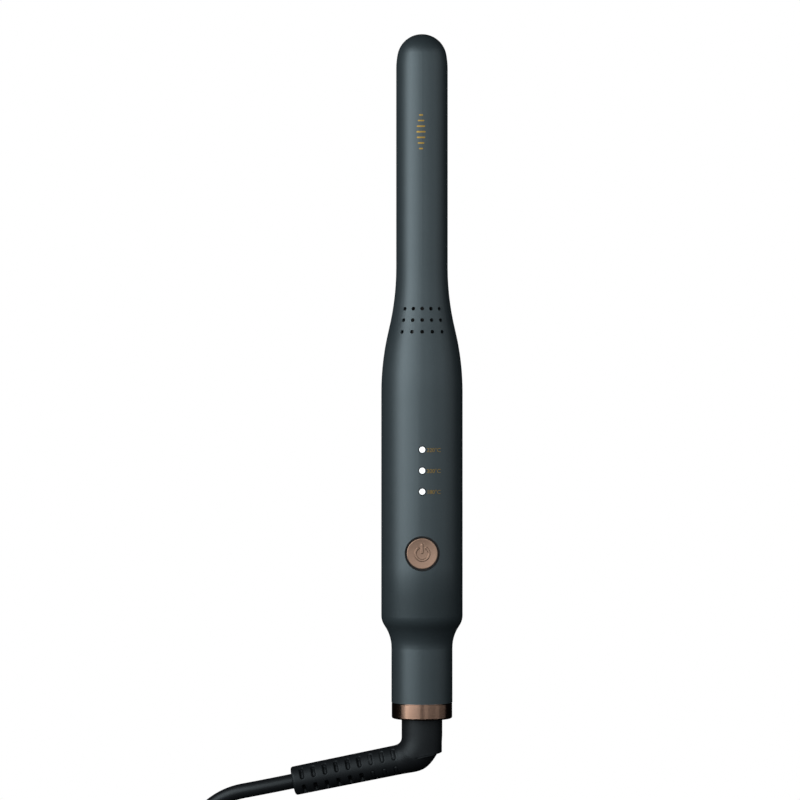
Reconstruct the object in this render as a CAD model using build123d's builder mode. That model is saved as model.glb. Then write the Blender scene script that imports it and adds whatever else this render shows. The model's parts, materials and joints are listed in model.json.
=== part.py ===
"""Curling iron: a round heated barrel, a two-shell handle and a cord on a swivel.

The tool lies on a table with its button upwards. X is across the tool, Y runs along it
towards the tip, and Z is up. The origin is under the middle of the tool, on the table.
All sizes are in millimetres. The table is at Z = 0.
"""

import os
from math import cos, pi, radians, sin, sqrt, tan

from build123d import *

# ---------------------------------------------------------------- driving dimensions
# heated barrel
barrel_radius = 9.5
barrel_length = 86.0
barrel_wall = 1.3
dome_nose_inset = 0.35
dome_cheek_length = 3.55
dome_tip_wall = 1.5

# handle, from the barrel's end to the cord's end
grip_radius = 15.0
neck_radius = 11.25
flare_length = 46.0
flare_share = 0.5
grip_length = 82.3
shoulder_length = 11.9
shoulder_share = 0.32
neck_length = 20.1
shell_wall = 1.6

# end ring and swivel stub
ring_gap = 0.35
ring_height = 5.5
ring_radius = 11.15
ring_spigot = 3.65
ring_round = 0.6
stub_radius = 7.35
stub_length = 15.35
stub_into_ring = 4.7

# moulded strain relief
relief_droop = 11.5
relief_leg_radius = 5.5
relief_root_radius = 5.55
relief_end_radius = 5.28
relief_reach = 48.57
relief_bend_radius = 3.4
relief_leg_length = 8.0
elbow_above_stub_end = 1.3
rim_above_elbow = 0.1
relief_end_round = 1.0
slot_count = 9
slot_deep_count = 6
slot_pitch = 4.3
slot_first = 3.9
slot_span = 4.5
slot_width = 1.5
slot_depth = 1.3
slot_shallow_depth = 0.4
slot_row_angle = 37.0

# vents, lights and button, by their distance from the barrel's tip
vent_rows = (101.5, 105.7, 110.0)
vent_angles = (-36.0, -17.5, 0.0, 17.5, 36.0)
vent_radius = 0.7
light_first = 153.0
light_pitch = 7.65
light_count = 3
light_hole_radius = 1.45
light_pin_radius = 1.1
light_recess = 0.15
light_bar_width = 4.0
light_bar_thickness = 1.4
light_bar_room = 1.0
light_bar_reach = 6.0
light_foot_length = 2.0
button_from_tip = 190.9
button_radius = 5.62
button_gap = 0.78
button_flange_width = 1.0
button_flange_height = 0.8
button_travel = 0.5
button_edge_rise = 0.2
button_dish_depth = 0.45
button_rim = 0.35
button_seat_depth = 4.0
button_guide_wall = 1.3
button_guide_height = 4.4
icon_radius = 2.6
icon_stroke = 0.66
icon_height = 0.3
icon_gap_angle = 33.0
icon_bar_low = 0.5
icon_bar_high = 3.4

# clearances
slide_clearance = 0.1
running_clearance = 0.05
seat_clearance = 0.05
turning_clearance = 0.4
end_float = 0.3

# heating parts
heater_side_room = 3.2
heater_thickness = 1.3
heater_length = 58.0
mica_thickness = 0.2
heater_from_tip = 14.0
spring_width = 2.2
spring_thickness = 0.3
sensor_radius = 0.7
sensor_lead_radius = 0.5
sensor_from_tip = 38.0
sensor_length = 4.0
sensor_height = 2.4
collar_spigot = 13.0
collar_length = 32.0
collar_wall = 1.65
collar_flange_width = 2.5
collar_flange_height = 3.0
collar_flange_from_barrel = 27.0
rib_thickness = 1.5
rib_overlap = 2.1
lead_radius = 0.8
lead_spread = 2.2
lead_spread_boss = 7.0
lead_bend = 1.6
lead_on_board = 6.0
sensor_lead_bend = 0.9
sensor_lead_drop = 1.2
sensor_lead_on_board = 2.0
wire_gap = 1.0
fuse_radius = 1.6
fuse_length = 9.0
fuse_from_tip = 93.0

# circuit board
board_width = 21.0
board_thickness = 1.2
board_from_tip = 137.0
board_length = 68.7
board_above_axis = 5.0
switch_side = 6.0
switch_height = 3.4
plunger_radius = 1.7
plunger_depth = 0.9
led_side = 1.6
led_height = 0.8
chip_side = 5.0
chip_height = 1.0
chip_from_middle = 6.0
triac_size = (10.0, 9.0, 4.4)
triac_from_tip = 150.0
triac_round = 0.5
capacitor_size = (12.0, 13.0, 9.0)
capacitor_from_tip = 166.0
capacitor_round = 0.8
varistor_radius = 3.5
varistor_thickness = 3.4
varistor_foot = 4.0
varistor_drop = 4.0
varistor_from_tip = 180.0

# screws
case_screw_stations = (127.0, 209.0)
case_screw_radius = 1.25
case_screw_bite = 5.2
case_head_radius = 2.5
case_head_height = 1.4
case_boss_radius = 3.6
case_tower_radius = 3.0
case_head_depth = 2.2
boss_split_below_axis = 2.0
board_screw_stations = (141.0, 203.0)
board_screw_radius = 0.9
board_screw_bite = 5.0
board_head_radius = 1.8
board_head_height = 1.2
board_tower_radius = 2.4
screw_clearance = 0.05
pilot_room = 1.2
drive_span = 1.2
drive_slot = 0.25
drive_depth = 0.6

# swivel
shaft_radius = 6.0
spindle_radius = 4.5
spindle_room = 1.0
wire_bore = 2.6
bearing_length = 7.0
clip_radius = 8.2
clip_groove_radius = 5.2
clip_thickness = 1.0
clip_opening = 4.0
slip_ring_radius = 5.5
slip_ring_width = 3.0
slip_ring_first = 1.6
slip_ring_pitch = 6.0
brush_size = 2.2
brush_gap = 0.3
brush_length = 2.2
brush_block_width = 7.2
brush_block_length = 11.7
brush_post_length = 3.0
mains_wire_entry = 2.0
mains_wire_bend = 1.2
mains_wire_on_board = 8.0
core_radius = 1.0
core_spacing = 2.4

# power cord, its tie and its plug
cord_diameter = 5.5
coil_mean_radius = 32.0
coil_pitch = 5.6
coil_columns = 4
coil_layers = 2
coil_slack = 0.15
tie_thickness = 1.2
tie_arc = 22.0
tie_angles = (75.0, 215.0, 330.0)
plug_axis_height = 7.5
plug_width = 21.0
plug_length = 22.0
plug_relief_length = 16.0
plug_relief_radius = 4.6
plug_neck_wall = 0.9
plug_round = 3.0
plug_face_round = 1.0
blade_length = 16.0
blade_width = 6.3
blade_thickness = 1.5
blade_spacing = 12.7
blade_hole_radius = 1.6
blade_hole_from_tip = 4.0

# ---------------------------------------------------------------- derived places
axis_height = grip_radius
dome_nose_radius = barrel_radius - dome_nose_inset
dome_length = dome_nose_radius + dome_cheek_length
stub_end_gap = ring_gap + ring_height + stub_length
tool_length = (
    barrel_length + flare_length + grip_length + shoulder_length + neck_length + stub_end_gap
)
y_tip = tool_length / 2
y_barrel_end = y_tip - barrel_length
y_flare_end = y_barrel_end - flare_length
y_grip_end = y_flare_end - grip_length
y_shoulder_end = y_grip_end - shoulder_length
y_neck_end = y_shoulder_end - neck_length
y_ring_top = y_neck_end - ring_gap
y_ring_end = y_ring_top - ring_height
y_stub_end = y_ring_end - stub_length
y_elbow = y_stub_end + elbow_above_stub_end
y_bearing_low = y_ring_top + ring_spigot
y_bearing_high = y_bearing_low + bearing_length
bore_radius = barrel_radius - barrel_wall
grip_bore = grip_radius - shell_wall
neck_bore = neck_radius - shell_wall
mouth_bore = barrel_radius - shell_wall
collar_bore = mouth_bore - seat_clearance - collar_wall
collar_flange_radius = mouth_bore + collar_flange_width
rib_bore = collar_flange_radius - rib_overlap
heater_width = 2 * (bore_radius - heater_side_room)
button_hole_radius = button_radius + button_gap
button_flange_radius = button_hole_radius + button_flange_width
y_button = y_tip - button_from_tip

tool_axis = Axis((0, 0, axis_height), (0, 1, 0))
profile_plane = Plane(origin=(0, 0, axis_height), x_dir=(0, 1, 0), z_dir=(1, 0, 0))
parting_plane = Plane.XY.offset(axis_height)


def station(from_tip):
    """The Y of a point that lies this far from the barrel's tip."""
    return y_tip - from_tip


def cross_plane(y):
    """A plane across the tool at y, whose normal points to the tip."""
    return Plane(origin=(0, y, axis_height), x_dir=(-1, 0, 0), z_dir=(0, 1, 0))


def s_curve(start, end, share):
    """Two tangent arcs from start to end, level with the axis at both ends."""
    bend = tuple(a + share * (b - a) for a, b in zip(start, end))
    first = TangentArc(start, bend, tangent=(1 if end[0] > start[0] else -1, 0))
    TangentArc(bend, end, tangent=first % 1)


def flare_radius(y):
    """The shell's outer radius at y, between the barrel's end and the grip."""
    rise = grip_radius - barrel_radius
    along = y_barrel_end - y
    near = flare_share * flare_length
    if along < near:
        arc = (near**2 + (flare_share * rise) ** 2) / (2 * flare_share * rise)
        return barrel_radius + arc - sqrt(arc**2 - along**2)
    far = flare_length - near
    arc = (far**2 + ((1 - flare_share) * rise) ** 2) / (2 * (1 - flare_share) * rise)
    return grip_radius - arc + sqrt(arc**2 - (flare_length - along) ** 2)


def write(piece, label):
    """Names a finished piece and writes its STEP file."""
    piece.part.label = label
    export_step(piece.part, f"parts/{label}.step")


os.makedirs("parts", exist_ok=True)

# ---------------------------------------------------------------- heated barrel
# the nose is an arc about the axis, and a flatter cheek arc leads from it to the barrel
cheek_radius = (dome_cheek_length**2 + barrel_radius**2 - dome_nose_radius**2) / (
    2 * dome_nose_inset
)
lean = dome_nose_radius / (cheek_radius - dome_nose_radius)
dome_join = (
    y_tip - dome_nose_radius + dome_cheek_length * lean,
    (cheek_radius - barrel_radius) * lean,
)

with BuildPart() as barrel:
    with BuildSketch(profile_plane):
        with BuildLine():
            nose = TangentArc((y_tip, 0), dome_join, tangent=(0, 1))
            TangentArc(dome_join, (y_tip - dome_length, barrel_radius), tangent=nose % 1)
            Line((y_tip - dome_length, barrel_radius), (y_barrel_end, barrel_radius))
            Line((y_barrel_end, barrel_radius), (y_barrel_end, bore_radius))
            bore_end = (y_tip - dome_tip_wall - bore_radius, bore_radius)
            Line((y_barrel_end, bore_radius), bore_end)
            TangentArc(bore_end, (y_tip - dome_tip_wall, 0), tangent=(1, 0))
            Line((y_tip - dome_tip_wall, 0), (y_tip, 0))
        make_face()
    revolve(axis=tool_axis)
write(barrel, "barrel")

# ---------------------------------------------------------------- insulating collar
y_flange_top = y_barrel_end - collar_flange_from_barrel
y_flange_low = y_flange_top - collar_flange_height
y_collar_end = y_barrel_end - collar_length

with BuildPart() as insulating_collar:
    with BuildSketch(cross_plane(y_collar_end)):
        Circle(mouth_bore - seat_clearance)
    extrude(amount=collar_length)
    with BuildSketch(cross_plane(y_flange_low)):
        Circle(collar_flange_radius)
    extrude(amount=collar_flange_height)
    with BuildSketch(cross_plane(y_barrel_end)):
        Circle(bore_radius - seat_clearance)
    extrude(amount=collar_spigot)
    with BuildSketch(cross_plane(y_collar_end)):
        Circle(collar_bore)
    extrude(amount=collar_length + collar_spigot, mode=Mode.SUBTRACT)
write(insulating_collar, "insulating_collar")

# ---------------------------------------------------------------- heater and spreaders
y_heater_top = station(heater_from_tip)
y_heater_low = y_heater_top - heater_length
half_gap = heater_thickness / 2 + mica_thickness
y_heater_middle = (y_heater_top + y_heater_low) / 2

with BuildPart() as heater_plate:
    with Locations((0, y_heater_middle, axis_height)):
        Box(heater_width, heater_length, heater_thickness)
write(heater_plate, "heater_plate")

with BuildPart() as mica_sheets:
    lift = (heater_thickness + mica_thickness) / 2
    with Locations(
        (0, y_heater_middle, axis_height + lift), (0, y_heater_middle, axis_height - lift)
    ):
        Box(heater_width, heater_length, mica_thickness)
write(mica_sheets, "mica_sheets")

with BuildPart() as spreader_rod:
    with BuildSketch(cross_plane(y_heater_low)):
        Circle(bore_radius - slide_clearance)
    extrude(amount=heater_length)

y_sensor = station(sensor_from_tip)

with BuildPart() as heat_spreader_front:
    add(spreader_rod.part)
    split(bisect_by=Plane.XY.offset(axis_height + half_gap), keep=Keep.TOP)
    with BuildSketch(cross_plane(y_heater_low)):
        with Locations((0, sensor_height)):
            Circle(sensor_radius + seat_clearance)
    extrude(amount=y_sensor + sensor_length - y_heater_low, mode=Mode.SUBTRACT)
write(heat_spreader_front, "heat_spreader_front")

with BuildPart() as heat_spreader_back:
    add(spreader_rod.part)
    split(bisect_by=Plane.XY.offset(axis_height - half_gap), keep=Keep.BOTTOM)
write(heat_spreader_back, "heat_spreader_back")

with BuildPart() as spreader_springs:
    x_spring = heater_width / 2 + spring_width / 2 + end_float
    for side in (-1, 1):
        spring_plane = Plane(
            origin=(side * x_spring, 0, axis_height), x_dir=(0, 1, 0), z_dir=(1, 0, 0)
        )
        with BuildSketch(spring_plane):
            with BuildLine():
                low = -half_gap
                high = half_gap
                ThreePointArc(
                    (y_heater_low, low),
                    (y_heater_middle, high - spring_thickness),
                    (y_heater_top, low),
                )
                Line((y_heater_top, low), (y_heater_top, low + spring_thickness))
                ThreePointArc(
                    (y_heater_top, low + spring_thickness),
                    (y_heater_middle, high),
                    (y_heater_low, low + spring_thickness),
                )
                Line((y_heater_low, low + spring_thickness), (y_heater_low, low))
            make_face()
        extrude(amount=spring_width / 2, both=True)
write(spreader_springs, "spreader_springs")

# ---------------------------------------------------------------- handle shells
with BuildPart() as shell_blank:
    with BuildSketch(profile_plane):
        with BuildLine():
            s_curve((y_barrel_end, barrel_radius), (y_flare_end, grip_radius), flare_share)
            Line((y_flare_end, grip_radius), (y_grip_end, grip_radius))
            s_curve((y_grip_end, grip_radius), (y_shoulder_end, neck_radius), shoulder_share)
            Line((y_shoulder_end, neck_radius), (y_neck_end, neck_radius))
            Line((y_neck_end, neck_radius), (y_neck_end, neck_bore))
            Line((y_neck_end, neck_bore), (y_shoulder_end, neck_bore))
            s_curve((y_shoulder_end, neck_bore), (y_grip_end, grip_bore), 1 - shoulder_share)
            Line((y_grip_end, grip_bore), (y_flare_end, grip_bore))
            s_curve((y_flare_end, grip_bore), (y_barrel_end, mouth_bore), 1 - flare_share)
            Line((y_barrel_end, mouth_bore), (y_barrel_end, barrel_radius))
        make_face()
    revolve(axis=tool_axis)
    # two ribs hold the collar's flange between them
    for y_rib in (
        y_flange_top + seat_clearance,
        y_flange_low - seat_clearance - rib_thickness,
    ):
        with BuildSketch(cross_plane(y_rib)):
            Circle(flare_radius(y_rib + rib_thickness / 2) - shell_wall / 2)
            Circle(rib_bore, mode=Mode.SUBTRACT)
        extrude(amount=rib_thickness)
    # one rib stops the swivel bearing
    with BuildSketch(cross_plane(y_bearing_high + seat_clearance)):
        Circle(neck_radius - shell_wall / 2)
        Circle(clip_radius + turning_clearance, mode=Mode.SUBTRACT)
    extrude(amount=clip_thickness)

button_bore = button_flange_radius + slide_clearance
guide_radius = button_bore + button_guide_wall
z_crown = axis_height + grip_radius
z_seat = z_crown - button_seat_depth
z_guide_low = z_seat - button_guide_height
z_board_top = axis_height + board_above_axis
z_boss_split = axis_height - boss_split_below_axis
tower_top = z_crown - shell_wall / 2
case_pilot_top = z_boss_split + case_screw_bite + pilot_room

with BuildPart() as button_pad:
    with BuildSketch(Plane.XY.offset(z_guide_low)):
        with Locations((0, y_button)):
            Circle(guide_radius)
    extrude(amount=z_crown - z_guide_low)
    with BuildSketch(cross_plane(y_button)):
        Circle(grip_radius - shell_wall / 4)
    extrude(amount=2 * guide_radius, both=True, mode=Mode.INTERSECT)

with BuildPart() as front_shell:
    add(shell_blank.part)
    split(bisect_by=parting_plane, keep=Keep.TOP)
    add(button_pad.part)
    for from_tip in case_screw_stations:
        with BuildSketch(Plane.XY.offset(z_boss_split)):
            with Locations((0, station(from_tip))):
                Circle(case_tower_radius)
        extrude(amount=tower_top - z_boss_split)
    for from_tip in board_screw_stations:
        with BuildSketch(Plane.XY.offset(z_board_top)):
            with Locations((0, station(from_tip))):
                Circle(board_tower_radius)
        extrude(amount=tower_top - z_board_top)
    # button well: a wide bore below the seat and the visible hole above it
    with BuildSketch(Plane.XY.offset(z_guide_low)):
        with Locations((0, y_button)):
            Circle(button_bore)
    extrude(amount=z_seat - z_guide_low, mode=Mode.SUBTRACT)
    with BuildSketch(Plane.XY.offset(z_guide_low)):
        with Locations((0, y_button)):
            Circle(button_hole_radius)
    extrude(amount=z_crown - z_guide_low, mode=Mode.SUBTRACT)
    # pilot holes
    with BuildSketch(Plane.XY.offset(z_boss_split)):
        with Locations(*[(0, station(from_tip)) for from_tip in case_screw_stations]):
            Circle(case_screw_radius + screw_clearance)
    extrude(amount=case_pilot_top - z_boss_split, mode=Mode.SUBTRACT)
    with BuildSketch(Plane.XY.offset(z_board_top)):
        with Locations(*[(0, station(from_tip)) for from_tip in board_screw_stations]):
            Circle(board_screw_radius + screw_clearance)
    extrude(amount=board_screw_bite + pilot_room, mode=Mode.SUBTRACT)
    # light holes
    with BuildSketch(parting_plane):
        with Locations(
            *[(0, station(light_first + light_pitch * i)) for i in range(light_count)]
        ):
            Circle(light_hole_radius)
    extrude(amount=grip_radius + shell_wall, mode=Mode.SUBTRACT)
    # vents, square to the tool's axis
    for from_tip in vent_rows:
        for angle in vent_angles:
            outward = (sin(radians(angle)), 0, cos(radians(angle)))
            vent_plane = Plane(
                origin=(0, station(from_tip), axis_height), x_dir=(0, 1, 0), z_dir=outward
            )
            with BuildSketch(vent_plane.offset(mouth_bore)):
                Circle(vent_radius)
            extrude(amount=grip_radius, mode=Mode.SUBTRACT)
write(front_shell, "front_shell")

z_keel = axis_height - grip_radius
z_boss_low = z_keel + shell_wall / 2

with BuildPart() as back_shell:
    add(shell_blank.part)
    split(bisect_by=parting_plane, keep=Keep.BOTTOM)
    for from_tip in case_screw_stations:
        with BuildSketch(Plane.XY.offset(z_boss_low)):
            with Locations((0, station(from_tip))):
                Circle(case_boss_radius)
        extrude(amount=z_boss_split - z_boss_low)
    with BuildSketch(Plane.XY.offset(z_keel)):
        with Locations(*[(0, station(from_tip)) for from_tip in case_screw_stations]):
            Circle(case_screw_radius + slide_clearance)
    extrude(amount=axis_height, mode=Mode.SUBTRACT)
    with BuildSketch(Plane.XY.offset(z_keel)):
        with Locations(*[(0, station(from_tip)) for from_tip in case_screw_stations]):
            Circle(case_head_radius + slide_clearance)
    extrude(amount=case_head_depth, mode=Mode.SUBTRACT)

# ---------------------------------------------------------------- screws
def pan_screws(head_radius, head_height, shank_radius, shank_length, stations, z_seat_face):
    """Pan-head screws that point up on the tool's middle line, heads below z_seat_face."""
    places = [(0, station(from_tip)) for from_tip in stations]
    with BuildPart() as screws:
        with BuildSketch(Plane.XY.offset(z_seat_face - head_height)):
            with Locations(*places):
                Circle(head_radius)
        extrude(amount=head_height)
        with BuildSketch(Plane.XY.offset(z_seat_face)):
            with Locations(*places):
                Circle(shank_radius)
        extrude(amount=shank_length)
        with BuildSketch(Plane.XY.offset(z_seat_face - head_height)):
            with Locations(*places):
                Rectangle(head_radius * drive_span, head_radius * drive_slot)
                Rectangle(head_radius * drive_slot, head_radius * drive_span)
        extrude(amount=head_height * drive_depth, mode=Mode.SUBTRACT)
    return screws


z_case_head = z_keel + case_head_depth
case_screws = pan_screws(
    case_head_radius,
    case_head_height,
    case_screw_radius,
    z_boss_split + case_screw_bite - z_case_head,
    case_screw_stations,
    z_case_head,
)
write(case_screws, "case_screws")

board_screws = pan_screws(
    board_head_radius,
    board_head_height,
    board_screw_radius,
    board_thickness + board_screw_bite,
    board_screw_stations,
    z_board_top - board_thickness,
)
write(board_screws, "board_screws")

# ---------------------------------------------------------------- circuit board
y_board_top = station(board_from_tip)
y_board_low = y_board_top - board_length
z_board_low = z_board_top - board_thickness

with BuildPart() as circuit_board:
    with BuildSketch(Plane.XY.offset(z_board_low)):
        with Locations((0, (y_board_top + y_board_low) / 2)):
            Rectangle(board_width, board_length)
        with Locations(*[(0, station(from_tip)) for from_tip in board_screw_stations]):
            Circle(board_screw_radius + slide_clearance, mode=Mode.SUBTRACT)
    extrude(amount=board_thickness)
write(circuit_board, "circuit_board")

with BuildPart() as indicator_leds:
    with BuildSketch(Plane.XY.offset(z_board_top)):
        with Locations(
            *[(0, station(light_first + light_pitch * i)) for i in range(light_count)]
        ):
            Rectangle(led_side, led_side)
    extrude(amount=led_height)
write(indicator_leds, "indicator_leds")

light_span = light_pitch * (light_count - 1)
y_lights = station(light_first) - light_span / 2
z_light_bar = z_crown - shell_wall - light_bar_room - light_bar_thickness
z_pin_low = z_board_top + led_height + end_float
bar_length = light_span + 2 * light_bar_reach
with BuildPart() as light_guide:
    with BuildSketch(Plane.XY.offset(z_light_bar)):
        with Locations((0, y_lights)):
            Rectangle(light_bar_width, bar_length)
    extrude(amount=light_bar_thickness)
    with BuildSketch(Plane.XY.offset(z_pin_low)):
        with Locations((0, y_lights)):
            with GridLocations(0, light_pitch, 1, light_count):
                Circle(light_pin_radius)
    extrude(amount=z_crown - light_recess - z_pin_low)
    with BuildSketch(Plane.XY.offset(z_board_top)):
        with Locations((0, y_lights)):
            with GridLocations(0, bar_length - light_foot_length, 1, 2):
                Rectangle(light_bar_width, light_foot_length)
    extrude(amount=z_light_bar - z_board_top)
write(light_guide, "light_guide")

z_flange_top = z_seat - seat_clearance
z_flange_low = z_flange_top - button_flange_height
z_switch_top = z_board_top + switch_height
with BuildPart() as tact_switch:
    with BuildSketch(Plane.XY.offset(z_board_top)):
        with Locations((0, y_button)):
            Rectangle(switch_side, switch_side)
    extrude(amount=switch_height)
    with BuildSketch(Plane.XY.offset(z_switch_top - plunger_depth - button_travel - end_float)):
        with Locations((0, y_button)):
            Circle(plunger_radius + running_clearance)
    extrude(amount=plunger_depth + button_travel + end_float, mode=Mode.SUBTRACT)
write(tact_switch, "tact_switch")

with BuildPart() as switch_plunger:
    with BuildSketch(Plane.XY.offset(z_switch_top - plunger_depth)):
        with Locations((0, y_button)):
            Circle(plunger_radius)
    extrude(amount=z_flange_low - z_switch_top + plunger_depth)
write(switch_plunger, "switch_plunger")

with BuildPart() as controller_chip:
    with BuildSketch(Plane.XY.offset(z_board_top)):
        with Locations((chip_from_middle, y_lights)):
            Rectangle(chip_side, chip_side)
    extrude(amount=chip_height)
write(controller_chip, "controller_chip")


def board_block(size, from_tip, corner_round):
    """A moulded component that hangs below the board, with its upright edges rounded."""
    width, length, height = size
    with BuildPart() as block:
        with BuildSketch(Plane.XY.offset(z_board_low - height)):
            with Locations((0, station(from_tip))):
                Rectangle(width, length)
        extrude(amount=height)
        fillet(block.edges().filter_by(Axis.Z), corner_round)
    return block


write(board_block(triac_size, triac_from_tip, triac_round), "triac")
write(board_block(capacitor_size, capacitor_from_tip, capacitor_round), "capacitor")

y_varistor = station(varistor_from_tip)
with BuildPart() as varistor:
    with BuildSketch(
        Plane(origin=(0, y_varistor, z_board_low - varistor_drop), z_dir=(0, 1, 0))
    ):
        Circle(varistor_radius)
    extrude(amount=varistor_thickness)
    with BuildSketch(
        Plane(origin=(0, y_varistor, z_board_low - varistor_foot / 2), z_dir=(0, 1, 0))
    ):
        Rectangle(varistor_foot, varistor_foot)
    extrude(amount=varistor_thickness)
write(varistor, "varistor")

# ---------------------------------------------------------------- power button
# the cap's flat rim stands a little above the round shell at its two sides
z_button_top = axis_height + sqrt((grip_radius + button_edge_rise) ** 2 - button_radius**2)
z_dish = z_button_top - button_dish_depth
dish_edge = button_radius - button_rim
dish_radius = (dish_edge**2 + button_dish_depth**2) / (2 * button_dish_depth)
button_axis = Axis((0, y_button, 0), (0, 0, 1))

with BuildPart() as power_button:
    with BuildSketch(Plane(origin=(0, y_button, 0), x_dir=(1, 0, 0), z_dir=(0, -1, 0))):
        with BuildLine():
            Polyline(
                (0, z_dish),
                (0, z_flange_low),
                (button_flange_radius, z_flange_low),
                (button_flange_radius, z_flange_top),
                (button_radius, z_flange_top),
                (button_radius, z_button_top),
                (dish_edge, z_button_top),
            )
            RadiusArc((dish_edge, z_button_top), (0, z_dish), dish_radius)
        make_face()
    revolve(axis=button_axis)
    rim_edges = power_button.edges().filter_by(GeomType.CIRCLE).group_by(Axis.Z)[-1]
    fillet(rim_edges.sort_by(SortBy.RADIUS)[-1], button_rim / 2)
    # raised power sign: an open ring with a short bar
    with BuildSketch(Plane.XY.offset(z_dish - icon_height / 2)):
        with Locations((0, y_button)):
            Circle(icon_radius + icon_stroke / 2)
            Circle(icon_radius - icon_stroke / 2, mode=Mode.SUBTRACT)
            with Locations((0, icon_radius)):
                Rectangle(
                    2 * icon_radius * sin(radians(icon_gap_angle)),
                    icon_radius,
                    mode=Mode.SUBTRACT,
                )
            with Locations((0, (icon_bar_low + icon_bar_high) / 2)):
                Rectangle(icon_stroke, icon_bar_high - icon_bar_low)
    extrude(amount=icon_height * 1.5)
write(power_button, "power_button")

# ---------------------------------------------------------------- heater wiring
def insulated_wires(routes, radius, bend):
    """Sweeps round wires along straight runs and tangent bends."""
    with BuildPart() as wires:
        for points in routes:
            with BuildLine() as route:
                FilletPolyline(*points, radius=bend)
            with BuildSketch(Plane(origin=route.line @ 0, z_dir=route.line % 0)):
                Circle(radius)
            sweep(path=route.line)
    return wires


y_boss_front = station(case_screw_stations[0])
heater_leads = insulated_wires(
    [
        [
            (side * lead_spread, y_heater_low, axis_height),
            (side * lead_spread, y_collar_end, axis_height),
            (side * lead_spread_boss, y_boss_front, axis_height),
            (side * lead_spread_boss, y_board_top - lead_on_board, axis_height),
            (side * lead_spread_boss, y_board_top - lead_on_board, z_board_low),
        ]
        for side in (-1, 1)
    ],
    lead_radius,
    lead_bend,
)
write(heater_leads, "heater_leads")

with BuildPart() as thermal_fuse:
    with BuildSketch(cross_plane(station(fuse_from_tip + fuse_length))):
        with Locations((-lead_spread, 0)):
            Circle(fuse_radius)
            Circle(lead_radius, mode=Mode.SUBTRACT)
    extrude(amount=fuse_length)
write(thermal_fuse, "thermal_fuse")

x_sensor_lead = lead_spread_boss - lead_radius - sensor_lead_radius - wire_gap
y_sensor_joint = y_board_top - sensor_lead_on_board
z_sensor = axis_height + sensor_height
z_sensor_low = z_sensor - sensor_lead_drop
sensor_lead = insulated_wires(
    [
        [
            (0, y_sensor, z_sensor),
            (0, y_collar_end, z_sensor),
            (-x_sensor_lead, y_boss_front, z_sensor_low),
            (-x_sensor_lead, y_sensor_joint, z_sensor_low),
            (-x_sensor_lead, y_sensor_joint, z_board_low),
        ]
    ],
    sensor_lead_radius,
    sensor_lead_bend,
)
with BuildPart() as thermistor:
    add(sensor_lead.part)
    with BuildSketch(cross_plane(y_sensor)):
        with Locations((0, sensor_height)):
            Circle(sensor_radius)
    extrude(amount=sensor_length)
write(thermistor, "thermistor")

# ---------------------------------------------------------------- swivel, fixed side
with BuildPart() as swivel_bearing:
    with BuildSketch(cross_plane(y_bearing_low)):
        Circle(neck_bore - seat_clearance)
        Circle(shaft_radius + running_clearance, mode=Mode.SUBTRACT)
    extrude(amount=bearing_length)
write(swivel_bearing, "swivel_bearing")

with BuildPart() as end_ring:
    with BuildSketch(cross_plane(y_ring_end)):
        Circle(ring_radius)
    extrude(amount=ring_height)
    fillet(end_ring.edges().group_by(Axis.Y)[0], ring_round)
    with BuildSketch(cross_plane(y_ring_top)):
        Circle(neck_bore - seat_clearance)
    extrude(amount=ring_spigot)
    with BuildSketch(cross_plane(y_ring_end)):
        Circle(stub_radius + turning_clearance)
    extrude(amount=ring_height + ring_spigot, mode=Mode.SUBTRACT)
write(end_ring, "end_ring")

y_clip_low = y_bearing_high + end_float
y_clip_high = y_clip_low + clip_thickness
y_spindle_low = y_clip_high + clip_thickness
y_spindle_high = station(case_screw_stations[-1]) - case_boss_radius - spindle_room
spindle_length = y_spindle_high - y_spindle_low
y_ring_one = y_spindle_high - slip_ring_first
slip_ring_tops = [y_ring_one - slip_ring_pitch * i for i in range(2)]
z_brush_top = axis_height - slip_ring_radius - brush_gap
z_block_top = z_brush_top - brush_gap
# the block's lower corners just clear the neck's bore
z_block_low = axis_height - sqrt((neck_bore - seat_clearance) ** 2 - (brush_block_width / 2) ** 2)
brush_block_height = z_block_top - z_block_low
y_block_top = y_spindle_high - brush_gap
y_block_low = y_block_top - brush_block_length
brush_places = [(0, top - slip_ring_width / 2) for top in slip_ring_tops]

with BuildPart() as contact_brushes:
    with BuildSketch(Plane.XY.offset(z_brush_top)):
        with Locations(*brush_places):
            Rectangle(brush_size, brush_size)
    extrude(amount=-brush_length)
write(contact_brushes, "contact_brushes")

with BuildPart() as brush_block:
    with BuildSketch(Plane.XY.offset(z_block_low)):
        with Locations((0, (y_block_top + y_block_low) / 2)):
            Rectangle(brush_block_width, brush_block_length)
    extrude(amount=brush_block_height)
    add(contact_brushes.part, mode=Mode.SUBTRACT)
write(brush_block, "brush_block")

with back_shell:
    # a post under the brush block
    with BuildSketch(Plane.XY.offset(z_boss_low)):
        with Locations((0, y_block_top - brush_post_length / 2)):
            Rectangle(brush_block_width / 2, brush_post_length)
    extrude(amount=z_block_low - z_boss_low)
write(back_shell, "back_shell")

z_mains = (z_block_top + z_block_low) / 2
x_mains = case_boss_radius + 2 * lead_radius + wire_gap
y_mains_entry = y_block_top - mains_wire_entry
y_mains_joint = y_board_low + mains_wire_on_board
mains_wires = insulated_wires(
    [
        [
            (side * brush_block_width / 2, y_mains_entry, z_mains),
            (side * x_mains, y_mains_entry, z_mains),
            (side * x_mains, y_mains_joint, z_mains),
            (side * x_mains, y_mains_joint, z_board_low),
        ]
        for side in (-1, 1)
    ],
    lead_radius,
    mains_wire_bend,
)
write(mains_wires, "mains_wires")

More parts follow.
